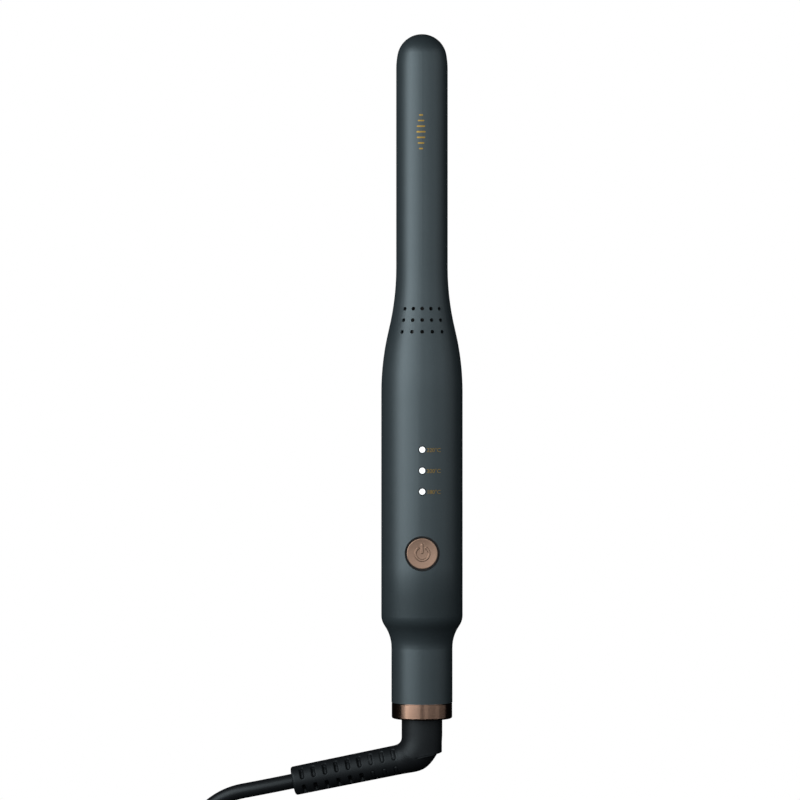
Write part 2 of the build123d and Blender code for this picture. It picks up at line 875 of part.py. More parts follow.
# ---------------------------------------------------------------- strain relief
droop = radians(relief_droop)
relief_turn = 90 - relief_droop
bend_tangent = relief_bend_radius * tan(radians(relief_turn) / 2)
relief_direction = Vector(-cos(droop), -sin(droop), 0)
relief_side = Vector(-sin(droop), cos(droop), 0)
elbow = Vector(0, y_elbow, axis_height)
relief_start = elbow + relief_direction * bend_tangent
relief_end = elbow + relief_direction * relief_reach
y_bend = y_elbow + bend_tangent
y_leg_top = y_bend + relief_leg_length

with BuildPart() as strain_relief:
    with BuildSketch(cross_plane(y_bend)):
        Circle(relief_leg_radius)
    extrude(amount=relief_leg_length)
    # the outside of the bend: a round section with its inner side cut off at the pivot
    with BuildSketch(Plane(origin=(0, y_bend, axis_height), x_dir=(1, 0, 0), z_dir=(0, -1, 0))):
        Circle(relief_leg_radius)
        with Locations((-relief_bend_radius - relief_leg_radius, 0)):
            Rectangle(2 * relief_leg_radius, 3 * relief_leg_radius, mode=Mode.SUBTRACT)
    revolve(
        axis=Axis((-relief_bend_radius, y_bend, axis_height), (0, 0, -1)),
        revolution_arc=relief_turn,
    )
    with BuildSketch(Plane(origin=relief_start, z_dir=relief_direction)):
        Circle(relief_leg_radius)
    with BuildSketch(Plane(origin=relief_end, z_dir=relief_direction)):
        Circle(relief_end_radius)
    loft()
    end_edges = strain_relief.edges().filter_by(GeomType.CIRCLE)
    fillet(end_edges.sort_by(Axis((0, 0, 0), relief_direction))[-1], relief_end_round)
    # flex slots in four rows: deep near the cord, shallow near the elbow
    for row in (slot_row_angle, -slot_row_angle, 180 - slot_row_angle, slot_row_angle - 180):
        outward = relief_side * sin(radians(row)) + Vector(0, 0, cos(radians(row)))
        for count, skip, depth in (
            (slot_deep_count, 0, slot_depth),
            (slot_count - slot_deep_count, slot_deep_count, slot_shallow_depth),
        ):
            middle = slot_first + slot_pitch * (skip + (count - 1) / 2)
            slot_plane = Plane(
                origin=relief_end - relief_direction * middle,
                x_dir=relief_direction,
                z_dir=outward,
            )
            with BuildSketch(slot_plane.offset(relief_end_radius - depth)):
                with GridLocations(slot_pitch, 0, count, 1):
                    SlotOverall(slot_span, slot_width, rotation=90)
            extrude(amount=depth + relief_root_radius, mode=Mode.SUBTRACT)
write(strain_relief, "strain_relief")

# ---------------------------------------------------------------- swivel, cord side
y_stub_top = y_ring_end + stub_into_ring

with BuildPart() as swivel_stub:
    with BuildSketch(cross_plane(y_stub_end)):
        Circle(stub_radius)
    extrude(amount=y_stub_top - y_stub_end)
    with BuildSketch(cross_plane(y_stub_top)):
        Circle(shaft_radius)
    extrude(amount=y_spindle_low - y_stub_top)
    with BuildSketch(cross_plane(y_spindle_low)):
        Circle(spindle_radius)
    extrude(amount=spindle_length)
    with BuildSketch(cross_plane(y_clip_low)):
        Circle(shaft_radius + end_float)
        Circle(clip_groove_radius, mode=Mode.SUBTRACT)
    extrude(amount=clip_thickness, mode=Mode.SUBTRACT)
    with BuildSketch(cross_plane(y_leg_top)):
        Circle(wire_bore)
    extrude(amount=y_spindle_high - y_leg_top, mode=Mode.SUBTRACT)
    rim_plane = Plane(
        origin=elbow + relief_side * rim_above_elbow, x_dir=(0, 0, 1), z_dir=relief_side
    )
    split(bisect_by=rim_plane, keep=Keep.TOP)
    add(strain_relief.part, mode=Mode.SUBTRACT)
write(swivel_stub, "swivel_stub")

with BuildPart() as retaining_clip:
    with BuildSketch(cross_plane(y_clip_low)):
        Circle(clip_radius)
        Circle(clip_groove_radius, mode=Mode.SUBTRACT)
        with Locations((0, -clip_radius)):
            Rectangle(clip_opening, 2 * clip_radius, mode=Mode.SUBTRACT)
    extrude(amount=clip_thickness)
write(retaining_clip, "retaining_clip")

with BuildPart() as slip_rings:
    for top in slip_ring_tops:
        with BuildSketch(cross_plane(top - slip_ring_width)):
            Circle(slip_ring_radius)
            Circle(spindle_radius, mode=Mode.SUBTRACT)
        extrude(amount=slip_ring_width)
write(slip_rings, "slip_rings")

with BuildPart() as core_wires:
    with BuildSketch(cross_plane(y_leg_top)):
        with GridLocations(core_spacing, 0, 2, 1):
            Circle(core_radius)
    extrude(amount=y_ring_one - y_leg_top)
write(core_wires, "core_wires")

# ---------------------------------------------------------------- power cord
# The route leaves the strain relief level, turns towards the coil and comes down to it.
# Across and along are counted from the end of the strain relief, heights from the table.
cord_radius = cord_diameter / 2
low_turn = tie_thickness + cord_radius
high_turn = low_turn + coil_pitch * (coil_layers - 1)
outer_turn = coil_mean_radius + coil_pitch * (coil_columns - 1) / 2
inner_turn = coil_mean_radius - coil_pitch * (coil_columns - 1) / 2
lead_route = [
    (0.0, 0.0, axis_height),
    (-12.15, -2.47, axis_height),
    (-24.5, -4.9, 13.2),
    (-34.7, -12.8, 9.8),
    (-40.4, -24.4, 6.6),
    (-41.0, -36.6, 4.5),
    (-40.6, -48.1, low_turn),
]
coil_centre = relief_end + Vector(-0.2, -59.1, 0)
tail_route = [
    (0.0, -outer_turn, high_turn),
    (11.5, -outer_turn - 0.2, high_turn - 0.7),
    (23.0, -outer_turn - 0.9, plug_axis_height),
    (34.0, -outer_turn - 2.3, plug_axis_height),
]


def route_radii(points):
    """The largest bend at each corner that 0.45 of its shorter run allows."""
    radii = []
    for before, here, after in zip(points, points[1:], points[2:]):
        turn = (here - before).get_angle(after - here)
        shorter = min((here - before).length, (after - here).length)
        radii.append(0.45 * shorter / tan(radians(turn) / 2))
    return radii


def cord_tube(points, label):
    """Sweeps the cord along its route and prints its bends, length and volume."""
    radii = route_radii(points)
    with BuildPart() as tube:
        with BuildLine() as route:
            FilletPolyline(*points, radius=radii)
        with BuildSketch(Plane(origin=route.line @ 0, z_dir=route.line % 0)):
            Circle(cord_radius)
        sweep(path=route.line)
    length = sum(edge.length for edge in route.edges())
    share = tube.part.volume / (pi * cord_radius**2 * length)
    print(label, "bend radii", [round(radius, 1) for radius in radii])
    print(label, "length", round(length, 1), "volume / (section x length)", round(share, 4))
    write(tube, label)
    return length


lead_points = [Vector(relief_end.X + x, relief_end.Y + y, z) for x, y, z in lead_route]
tail_points = [Vector(coil_centre.X + x, coil_centre.Y + y, z) for x, y, z in tail_route]
lead_length = cord_tube(lead_points, "cord_lead")
tail_length = cord_tube(tail_points, "cord_tail")

coil_height = coil_pitch * (coil_layers - 1) + cord_diameter + coil_slack
coil_width = outer_turn - inner_turn + cord_diameter + 2 * coil_slack
coil_turns = coil_columns * coil_layers + 0.25
coil_length = coil_turns * 2 * pi * coil_mean_radius
print("cord length", round(lead_length + coil_length + tail_length))

coil_origin = (coil_centre.X, coil_centre.Y, 0)
coil_axis = Axis(coil_origin, (0, 0, 1))
coil_middle = (coil_mean_radius, tie_thickness + coil_height / 2)


def coil_plane(angle):
    """An upright plane through the coil's axis, at this angle from +X."""
    turn = radians(angle)
    return Plane(
        origin=coil_origin, x_dir=(cos(turn), sin(turn), 0), z_dir=(sin(turn), -cos(turn), 0)
    )


with BuildPart() as cord_coil:
    with BuildSketch(coil_plane(0)):
        with Locations(coil_middle):
            RectangleRounded(coil_width, coil_height, cord_radius)
    revolve(axis=coil_axis)
write(cord_coil, "cord_coil")

with BuildPart() as cord_ties:
    for angle in tie_angles:
        with BuildSketch(coil_plane(angle - tie_arc / 2)):
            with Locations(coil_middle):
                RectangleRounded(
                    coil_width + 2 * tie_thickness,
                    coil_height + 2 * tie_thickness,
                    cord_radius + tie_thickness,
                )
                RectangleRounded(coil_width, coil_height, cord_radius, mode=Mode.SUBTRACT)
        revolve(axis=coil_axis, revolution_arc=tie_arc)
write(cord_ties, "cord_ties")

# ---------------------------------------------------------------- plug
plug_way = (tail_points[-1] - tail_points[-2]).normalized()
plug_plane = Plane(origin=tail_points[-1], x_dir=Vector(0, 0, 1).cross(plug_way), z_dir=plug_way)

with BuildPart() as plug_body:
    with BuildSketch(plug_plane):
        Circle(cord_radius + plug_neck_wall)
    with BuildSketch(plug_plane.offset(plug_relief_length)):
        Circle(plug_relief_radius)
    loft()
    with BuildSketch(plug_plane.offset(plug_relief_length)):
        RectangleRounded(plug_width, 2 * plug_axis_height, plug_round)
    extrude(amount=plug_length)
    face_edges = plug_body.edges().group_by(Axis((0, 0, 0), plug_way))[-1]
    fillet(face_edges, plug_face_round)
write(plug_body, "plug_body")

with BuildPart() as plug_blades:
    blade_plane = plug_plane.offset(plug_relief_length + plug_length)
    with BuildSketch(blade_plane):
        with GridLocations(blade_spacing, 0, 2, 1):
            Rectangle(blade_thickness, blade_width)
    extrude(amount=blade_length)
    with BuildSketch(Plane(origin=blade_plane.origin, x_dir=plug_way, z_dir=blade_plane.x_dir)):
        with Locations((blade_length - blade_hole_from_tip, 0)):
            Circle(blade_hole_radius)
    extrude(amount=blade_spacing, both=True, mode=Mode.SUBTRACT)
write(plug_blades, "plug_blades")
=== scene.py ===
# %% [markdown]
# # A curling iron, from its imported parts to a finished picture
#
# The tool is a slim round barrel that flows into a round handle, with a bronze ring and a
# mains cord at its end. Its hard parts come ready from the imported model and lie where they
# belong, so this lesson adds what they lack: the cord, the soft mouldings, the prints and
# the finish of every surface.

# %% Load the frame
import json
import math

import bmesh
import bpy
from mathutils import Matrix, Vector


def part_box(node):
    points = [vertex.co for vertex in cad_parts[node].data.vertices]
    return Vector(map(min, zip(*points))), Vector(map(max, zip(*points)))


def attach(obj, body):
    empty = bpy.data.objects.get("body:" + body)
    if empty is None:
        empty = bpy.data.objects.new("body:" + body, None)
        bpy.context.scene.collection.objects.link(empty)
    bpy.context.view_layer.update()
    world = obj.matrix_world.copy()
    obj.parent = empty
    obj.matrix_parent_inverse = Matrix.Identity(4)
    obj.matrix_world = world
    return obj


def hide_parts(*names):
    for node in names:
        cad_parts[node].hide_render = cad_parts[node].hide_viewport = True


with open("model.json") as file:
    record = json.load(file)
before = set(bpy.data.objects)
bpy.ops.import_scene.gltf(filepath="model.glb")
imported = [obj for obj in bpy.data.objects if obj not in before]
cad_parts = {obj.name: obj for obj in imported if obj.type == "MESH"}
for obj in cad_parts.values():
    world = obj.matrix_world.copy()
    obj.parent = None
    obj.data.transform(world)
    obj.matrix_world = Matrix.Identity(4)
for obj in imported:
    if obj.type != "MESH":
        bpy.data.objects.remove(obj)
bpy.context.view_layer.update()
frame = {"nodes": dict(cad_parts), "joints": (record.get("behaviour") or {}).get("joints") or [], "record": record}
nodes = frame["nodes"]
joints = {joint["name"]: joint for joint in frame["joints"]}
mounts = {mount["name"]: mount for mount in frame["record"]["mounts"]}
MM = 0.001
print("pieces in the frame:", len(nodes))

# %% [markdown]
# The tool's axis runs along Y at the height of the swivel joint. The tip, the ring, the stub,
# the button and the lights are read from the boxes of their parts, and other places are
# measured from those.

# %% Places that the frame gives
axis_height = joints["cord_swivel"]["pos_m"][2]
barrel_radius = mounts["barrel"]["dims"]["r_mm"] * MM
grip_radius = mounts["grip"]["dims"]["r_mm"] * MM
ring_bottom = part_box("end_ring")[0].y
stub_low, stub_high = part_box("swivel_stub")
button_low, button_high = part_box("power_button")
lights_low, lights_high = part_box("light_guide")
y_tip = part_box("barrel")[1].y
print("tool length:", round((y_tip - stub_low.y) / MM, 1), "mm")

# %% [markdown]
# Four small helpers serve the new pieces. One puts new data in the scene, and one turns a
# drawn mesh into mesh data. One selects a single object, because Blender's operators act on
# all that is selected, and the last gives a sheet its thickness.

# %% Helpers for new pieces
smooth_angle = math.radians(50)


def in_scene(name, data):
    """A new object in the scene, with its data."""
    obj = bpy.data.objects.new(name, data)
    bpy.context.scene.collection.objects.link(obj)
    return obj


def mesh_from(name, drawing):
    """Mesh data from a bmesh, which is freed."""
    mesh = bpy.data.meshes.new(name)
    drawing.to_mesh(mesh)
    drawing.free()
    return mesh


def select_only(obj):
    """Selects one object and makes it the active one."""
    bpy.ops.object.select_all(action="DESELECT")
    obj.select_set(True)
    bpy.context.view_layer.objects.active = obj


def thicken(obj, thickness, offset):
    """Gives a sheet its thickness, from its own surface inwards for -1 or both ways for 0."""
    select_only(obj)
    body = obj.modifiers.new("body", "SOLIDIFY")
    body.thickness = thickness
    body.offset = offset
    bpy.ops.object.modifier_apply(modifier="body")


# %% [markdown]
# ## Camera
#
# The tool is seen square on from above, with its tip at the top of the picture. A long lens
# from a little over a metre keeps the barrel straight and still shows a trace of depth. The
# lens follows from how much of the table the picture should take in.

# %% Camera
camera_distance = 1.17
view_width = 0.2951
view_aside = -0.0081
view_from_tip = 0.1349
view_centre = Vector((view_aside, y_tip - view_from_tip, axis_height))

camera_data = bpy.data.cameras.new("camera")
camera_data.sensor_width = 36.0
camera_data.lens = camera_data.sensor_width * camera_distance / view_width
camera = in_scene("camera", camera_data)
camera.location = view_centre + Vector((0, 0, camera_distance))
bpy.context.scene.camera = camera
print("lens:", round(camera_data.lens, 1), "mm")

# %% [markdown]
# ## Power cord
#
# A mains cord for a hair tool is a round flexible lead with a PVC jacket. It leaves the
# strain relief level, sinks to the table within a few centimetres and turns away from the
# picture. The rest of its length is wound into a flat coil, four turns wide and two layers
# high, and held with straps. One NURBS spline carries the whole length. Its control points
# are the corners of the route, then twelve for each turn of the coil.
#
# Blender adds each control point's radius to a curve's box, in metres. So the points carry
# the cord's own radius, and the bevel's depth of 1 leaves it as it is.

# %% The cord's route
cord_diameter = 5.5 * MM
relief_droop = math.radians(11.5)
relief_reach = 48.57 * MM
elbow_rise = 1.3 * MM
elbow = Vector((0, stub_low.y + elbow_rise, axis_height))
relief_way = Vector((-math.cos(relief_droop), -math.sin(relief_droop), 0))
relief_side = Vector((-math.sin(relief_droop), math.cos(relief_droop), 0))
relief_end = elbow + relief_way * relief_reach

strap_thickness = 1.2 * MM
coil_pitch = 5.6 * MM
coil_radius = 32.0 * MM
turns_across = 4
points_per_turn = 12
crossing = 0.25
outer_turn = coil_radius + (turns_across - 1) / 2 * coil_pitch
low_turn = strap_thickness + cord_diameter / 2
high_turn = low_turn + coil_pitch
coil_from_relief = Vector((-0.2, -59.1, 0)) * MM
coil_centre = relief_end + coil_from_relief
plug_axis = 7.5 * MM

lead_route = [
    (0.0, 0.0, axis_height),
    (-12.15 * MM, -2.47 * MM, axis_height),
    (-24.5 * MM, -4.9 * MM, 13.2 * MM),
    (-34.7 * MM, -12.8 * MM, 9.8 * MM),
    (-40.4 * MM, -24.4 * MM, 6.6 * MM),
    (-41.0 * MM, -36.6 * MM, 4.5 * MM),
    (-40.6 * MM, -48.1 * MM, low_turn),
]
tail_route = [
    (11.5 * MM, -outer_turn - 0.2 * MM, high_turn - 0.7 * MM),
    (23.0 * MM, -outer_turn - 0.9 * MM, plug_axis),
    (34.0 * MM, -outer_turn - 2.3 * MM, plug_axis),
]


def coil_points(steps):
    """The turns: inwards along the table in the low layer, then outwards in the high one."""
    columns = [outer_turn - coil_pitch * column for column in range(turns_across)]
    layers = [(radius, low_turn) for radius in columns]
    layers += [(radius, high_turn) for radius in reversed(columns)]
    points = []
    last = len(layers) - 1
    for turn, (radius, height) in enumerate(layers):
        after = layers[min(turn + 1, last)]
        # the last turn runs on for a quarter, to where the tail leaves
        for step in range(steps if turn < last else steps + steps // 4 + 1):
            # the cord crosses to the next place in the last quarter of each turn
            share = (step / steps - (1 - crossing)) / crossing
            move = min(max(share, 0), 1) if turn < last else 0
            here_radius = radius + (after[0] - radius) * move
            here_height = height + (after[1] - height) * move
            angle = math.pi + 2 * math.pi * step / steps
            # control points stand out a little, so that the smooth line has the radius
            stand_out = here_radius / (1 - (math.pi / steps) ** 2 / 4)
            away = Vector((stand_out * math.cos(angle), stand_out * math.sin(angle), here_height))
            points.append(coil_centre.xy.to_3d() + away)
    return points


route = [relief_end.xy.to_3d() + Vector(point) for point in lead_route]
route += coil_points(points_per_turn)
route += [coil_centre.xy.to_3d() + Vector(point) for point in tail_route]

cord_curve = bpy.data.curves.new("power_cord", "CURVE")
cord_curve.dimensions = "3D"
cord_curve.bevel_depth = 1.0
cord_curve.bevel_resolution = 5
cord_curve.resolution_u = 6
cord_curve.use_fill_caps = True
spline = cord_curve.splines.new("NURBS")
spline.points.add(len(route) - 1)
for point, place in zip(spline.points, route):
    point.co = (*place, 1.0)
    point.radius = cord_diameter / 2
spline.order_u = 3
spline.use_endpoint_u = True
power_cord = in_scene("power_cord", cord_curve)

bare_curve = cord_curve.copy()
bare_curve.bevel_depth = 0
bare = bpy.data.objects.new("cord_line", bare_curve)
line = bpy.data.meshes.new_from_object(bare)
bpy.data.objects.remove(bare)

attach(power_cord, "cord_end")
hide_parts("cord_lead", "cord_coil", "cord_tail")

# %% [markdown]
# ## Strain relief
#
# The cord leaves through a soft moulding that turns the corner: round where it leaves the
# ring, a full heel outside the bend, a small fillet inside it, and then a slimmer arm with
# flex slots. Its skin is one grid of rings. Each ring spans the gap between an inner and an
# outer outline, and the rings fan out round the heel. The stub inside it ends in an oblique
# rim. Above that rim the skin lies on the stub, and below it the skin follows the outlines.

# %% Outlines of the strain relief
leg_radius = stub_high.x
arm_radius = 5.5 * MM
arm_end_radius = 5.28 * MM
ring_gap = 0.4 * MM
leg_top = ring_bottom - ring_gap
inner_fillet = 2.6 * MM
fillet_pull = 0.6
heel_from_elbow = Vector((6.1, 1.3)) * MM
heel_leaves = Vector((-4.5, -8.1)) * MM
heel_arrives = 7.4 * MM
heel_lag = 0.5 * MM


def arm_edge(along, side):
    """The arm's edge in plan: on the fillet's side for 1, on the heel's side for -1."""
    radius = arm_radius + (arm_end_radius - arm_radius) * along / relief_reach
    return (elbow + relief_way * along + relief_side * (side * radius)).xy


def bezier(a, b, c, d, t):
    """A point on the cubic curve from a to d, with handles b and c."""
    s = 1 - t
    return a * s**3 + b * (3 * s * s * t) + c * (3 * s * t * t) + d * t**3


corner = Vector((-leg_radius, elbow.y + (arm_radius - leg_radius * math.sin(relief_droop))
                 / math.cos(relief_droop)))
fillet_start = corner + Vector((0, inner_fillet))
fillet_end = corner + relief_way.xy * inner_fillet
along_start = (fillet_end - elbow.xy).dot(relief_way.xy)
heel_start = elbow.xy + heel_from_elbow
heel_end = arm_edge(along_start + heel_lag, -1)


def section_ends(turn):
    """Inner and outer outline points round the bend, for a turn from 0 to 1."""
    inner = bezier(fillet_start, fillet_start.lerp(corner, fillet_pull),
                   fillet_end.lerp(corner, fillet_pull), fillet_end, turn)
    outer = bezier(heel_start, heel_start + heel_leaves,
                   heel_end - relief_way.xy * heel_arrives, heel_end, turn)
    return inner, outer


# %% Flex slots
slot_pitch = 4.3 * MM
slot_first = 3.9 * MM
slot_half_width = 0.62 * MM
slot_lip = 0.28 * MM
# each row's place round the arm, in degrees, and the length of its slots
slot_rows = [(32, 4.6 * MM), (-40, 4.0 * MM), (148, 4.6 * MM), (-140, 4.0 * MM)]
open_depth = 1.3 * MM
outline_depth = 0.32 * MM
open_slots, outlined_slots = 6, 3
slot_depths = [open_depth] * open_slots + [outline_depth] * outlined_slots


def smooth(low, high, value):
    """A smooth step from 0 at low to 1 at high."""
    t = min(max((value - low) / (high - low), 0), 1)
    return t * t * (3 - 2 * t)


def slot_cut(point):
    """How deep the nearest slot is at a place on the arm."""
    off_elbow = point - elbow
    from_end = relief_reach - off_elbow.dot(relief_way)
    angle = math.degrees(math.atan2(off_elbow.dot(relief_side), off_elbow.z))
    number = round((from_end - slot_first) / slot_pitch)
    if not 0 <= number < len(slot_depths):
        return 0.0
    across = from_end - slot_first - number * slot_pitch
    cut = 0.0
    for row, span in slot_rows:
        off = (angle - row + 180) % 360 - 180
        around = abs(math.radians(off)) * arm_radius
        beyond = max(around - (span / 2 - slot_half_width), 0)
        reach = math.hypot(across, beyond)
        if slot_depths[number] == outline_depth:
            # the shallow ones are only outlines pressed into the skin
            ring = abs(reach - slot_half_width)
            cut = max(cut, slot_depths[number] * (1 - smooth(0, slot_lip, ring)))
        else:
            edge = smooth(slot_half_width - slot_lip, slot_half_width + slot_lip, reach)
            cut = max(cut, slot_depths[number] * (1 - edge))
    return cut


# %% Build the strain relief's skin
around_count = 168
leg_steps = 12
bend_steps = 110
arm_steps = 215
end_round = 1.0 * MM
rim_lip = 0.14 * MM
rim_blend = 0.3 * MM
slim_from, slim_to = 0.45, 1.05
cord_hole = cord_diameter / 2 + 0.15 * MM
hole_bevel = 0.4 * MM
hole_depth = 3.0 * MM


def over_stub(point):
    """Lays the skin on the stub above the stub's rim; below the rim the skin is slimmer."""
    off = point - elbow
    radius = math.hypot(off.x, off.z)
    gap = leg_radius - radius
    above = smooth(-rim_lip, rim_lip, off.dot(relief_side))
    lift = above * (gap + math.hypot(gap, rim_blend)) / 2
    keep = 1 + lift / radius
    return Vector((off.x * keep, off.y, off.z * keep)) + elbow


def ring_points(inner, outer, height, cut=None, shape=None):
    """One ring: an ellipse between the two outline points, as high as the section is."""
    middle = ((inner + outer) / 2).to_3d() + Vector((0, 0, axis_height))
    half = ((inner - outer) / 2).to_3d()
    points = []
    for step in range(around_count):
        turn = math.pi / 2 - 2 * math.pi * step / around_count
        out = half * math.cos(turn) + Vector((0, 0, height * math.sin(turn)))
        depth = cut(middle + out) if cut else 0
        point = middle + out * (1 - depth / out.length)
        points.append(shape(point) if shape else point)
    return points


rings = []
for step in range(leg_steps):
    y = leg_top + (fillet_start.y - leg_top) * step / leg_steps
    rings.append(ring_points(Vector((-leg_radius, y)), Vector((leg_radius, y)), leg_radius,
                             shape=over_stub))
for step in range(bend_steps):
    turn = step / bend_steps
    inner, outer = section_ends(turn)
    height = leg_radius + (arm_radius - leg_radius) * smooth(slim_from, slim_to, turn)
    rings.append(ring_points(inner, outer, height, shape=over_stub))
for step in range(arm_steps + 1):
    along = along_start + (relief_reach - along_start) * step / arm_steps
    lag = heel_lag * (1 - step / arm_steps)
    inner, outer = arm_edge(along, 1), arm_edge(along + lag, -1)
    height = arm_radius + (arm_end_radius - arm_radius) * along / relief_reach
    left = relief_reach - along
    shrink = end_round - math.sqrt(max(end_round**2 - max(end_round - left, 0) ** 2, 0))
    middle = (inner + outer) / 2
    keep = (height - shrink) / height
    rings.append(ring_points(middle + (inner - middle) * keep, middle + (outer - middle) * keep,
                             height - shrink, slot_cut))
for radius, back in (
    (cord_hole + hole_bevel, 0.0), (cord_hole, hole_bevel), (cord_hole, hole_depth),
):
    centre = (elbow + relief_way * (relief_reach - back)).xy
    rings.append(ring_points(centre + relief_side.xy * radius, centre - relief_side.xy * radius,
                             radius))


def skin_mesh(name, rings):
    """A closed piece: rings joined by quads, with a face over each end."""
    skin = bmesh.new()
    rows = [[skin.verts.new(point) for point in ring] for ring in rings]
    for row, after in zip(rows, rows[1:]):
        for here in range(len(row)):
            beside = (here + 1) % len(row)
            skin.faces.new((row[here], row[beside], after[beside], after[here]))
    skin.faces.new(rows[0])
    skin.faces.new(reversed(rows[-1]))
    bmesh.ops.recalc_face_normals(skin, faces=skin.faces)
    obj = in_scene(name, mesh_from(name, skin))
    select_only(obj)
    bpy.ops.object.shade_smooth_by_angle(angle=smooth_angle)
    return obj


relief = skin_mesh("strain_relief_moulding", rings)
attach(relief, "cord_end")
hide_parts("strain_relief")
print("strain relief faces:", len(relief.data.polygons))

# %% [markdown]
# ## Power button
#
# The button is a turned bronze cap with a shallow dish, on a black skirt that carries its
# flange. The power sign stands up from the dish: an open ring with a short bar in its gap.
# Rings of points make the cap, close enough to carry the sign, and each point rises where
# the sign is, with a small bevel round it.

# %% Power button
cap_radius = 5.62 * MM
cap_rim = 0.35 * MM
cap_round = 0.17 * MM
dish_depth = 0.2 * MM
flange_height = 0.8 * MM
skirt_below = 1.0 * MM
sign_radius = 2.5 * MM
sign_half_stroke = 0.3 * MM
sign_gap = math.radians(35)
sign_bar = (0.4 * MM, 3.3 * MM)
sign_height = 0.26 * MM
sign_bevel = 0.17 * MM
cap_points = 180
round_steps = 6
dish_steps = 78
pole_radius = 0.02 * MM
cap_top = button_high.z
cap_bottom = button_low.z
skirt_top = cap_top - skirt_below
flange_radius = button_high.x
flange_top = cap_bottom + flange_height
y_cap = (button_low.y + button_high.y) / 2
dish_edge = cap_radius - cap_rim


def sign_rise(x, y):
    """How far the power sign stands up at a place on the cap."""
    radius, angle = math.hypot(x, y), math.atan2(x, y)
    if abs(angle) < sign_gap:
        end = Vector((math.copysign(math.sin(sign_gap), x), math.cos(sign_gap))) * sign_radius
        ring = math.hypot(x - end.x, y - end.y)
    else:
        ring = abs(radius - sign_radius)
    bar = math.hypot(x, y - min(max(y, sign_bar[0]), sign_bar[1]))
    off = min(ring, bar) - sign_half_stroke
    return sign_height * (1 - smooth(0, sign_bevel, off))


def cap_ring(radius, height, signed=False):
    """One ring of the cap; signed rings also carry the power sign."""
    points = []
    for step in range(cap_points):
        angle = 2 * math.pi * step / cap_points
        x, y = radius * math.cos(angle), radius * math.sin(angle)
        rise = sign_rise(x, y) if signed else 0
        points.append(Vector((x, y_cap + y, height + rise)))
    return points


cap_rings = [cap_ring(cap_radius, skirt_top)]
for step in range(round_steps + 1):
    turn = math.pi / 2 * step / round_steps
    cap_rings.append(cap_ring(cap_radius - cap_round * (1 - math.cos(turn)),
                              cap_top - cap_round * (1 - math.sin(turn))))
for step in range(dish_steps + 1):
    radius = max(dish_edge * (1 - step / dish_steps), pole_radius)
    dip = dish_depth * (1 - (radius / dish_edge) ** 2)
    cap_rings.append(cap_ring(radius, cap_top - dip, signed=True))
button_cap = skin_mesh("power_button_cap", cap_rings)
button_skirt = skin_mesh("power_button_skirt", [
    cap_ring(pole_radius, cap_bottom),
    cap_ring(flange_radius, cap_bottom),
    cap_ring(flange_radius, flange_top),
    cap_ring(cap_radius, flange_top),
    cap_ring(cap_radius, skirt_top),
])
for piece in (button_cap, button_skirt):
    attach(piece, "button")
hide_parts("power_button")
print("button faces:", len(button_cap.data.polygons) + len(button_skirt.data.polygons))

# %% [markdown]
# ## Prints
#
# Three temperatures are printed in gold beside the lights, and a small mark of bars on the
# barrel. A print is a film a few hundredths of a millimetre thick. Each is drawn flat, laid
# on the round surface and then given its thickness downwards.

# %% Prints on the round surfaces
film = 0.04 * MM


def wrap(mesh, radius):
    """Lifts a flat mesh on to the top of a round surface about the tool's axis."""
    for vertex in mesh.vertices:
        vertex.co.z = axis_height + math.sqrt((radius + film) ** 2 - vertex.co.x**2)


def printed(name, mesh, radius):
    """A print that rides on the tool's body."""
    wrap(mesh, radius)
    obj = in_scene(name, mesh)
    thicken(obj, film, -1)
    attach(obj, "iron")
    return obj


label_height = 2.08 * MM
label_start = 1.6 * MM
letter_spacing = 0.95
light_pitch = 7.65 * MM
light_middle = (lights_low.y + lights_high.y) / 2
labels = []
for number, words in enumerate(("220\u00b0C", "200\u00b0C", "180\u00b0C")):
    text = bpy.data.curves.new("label", "FONT")
    text.body = words
    text.size = label_height
    text.space_character = letter_spacing
    text.resolution_u = 3
    drawn = bpy.data.objects.new("label", text)
    mesh = bpy.data.meshes.new_from_object(drawn)
    bpy.data.objects.remove(drawn)
    middle = sum(vertex.co.y for vertex in mesh.vertices) / len(mesh.vertices)
    shift = Vector((label_start, light_middle + light_pitch * (1 - number) - middle, 0))
    mesh.transform(Matrix.Translation(shift))
    labels.append(printed("temperature_mark_" + words[:3], mesh, grip_radius))

mark_from_tip = 36.75 * MM
mark_pitch = 2.05 * MM
bar_half_height = 0.28 * MM
bar_half_widths = [0.75, 1.2, 1.55, 1.7, 1.55, 1.2, 0.75]
middle_bar = len(bar_half_widths) // 2
bar_columns = 16
bar_spread = 0.01 * MM
mark_shift = -0.4 * MM
bars = bmesh.new()
for number, half_width in enumerate(bar_half_widths):
    y_bar = y_tip - mark_from_tip + (number - middle_bar) * mark_pitch
    rows = []
    for column in range(bar_columns + 1):
        x = -math.cos(math.pi * column / bar_columns) * half_width * MM
        cap = max(abs(x) - (half_width * MM - bar_half_height), 0)
        half = math.sqrt(max(bar_half_height**2 - cap**2, 0)) + bar_spread
        rows.append([
            bars.verts.new((x + mark_shift, y_bar + side * half, 0)) for side in (-1, 1)
        ])
    for row, after in zip(rows, rows[1:]):
        bars.faces.new((row[0], after[0], after[1], row[1]))
barrel_mark = printed("barrel_mark", mesh_from("barrel_mark", bars), barrel_radius)
print("prints:", len(labels) + 1)

# %% [markdown]
# ## Coil straps
#
# Three hook-and-loop straps hold the coil. Each is a woven band 12 mm wide that goes once
# round the turns, with its end lapped over it on top. The band is a sheet of points with a
# faint wave, and its thickness is added last.

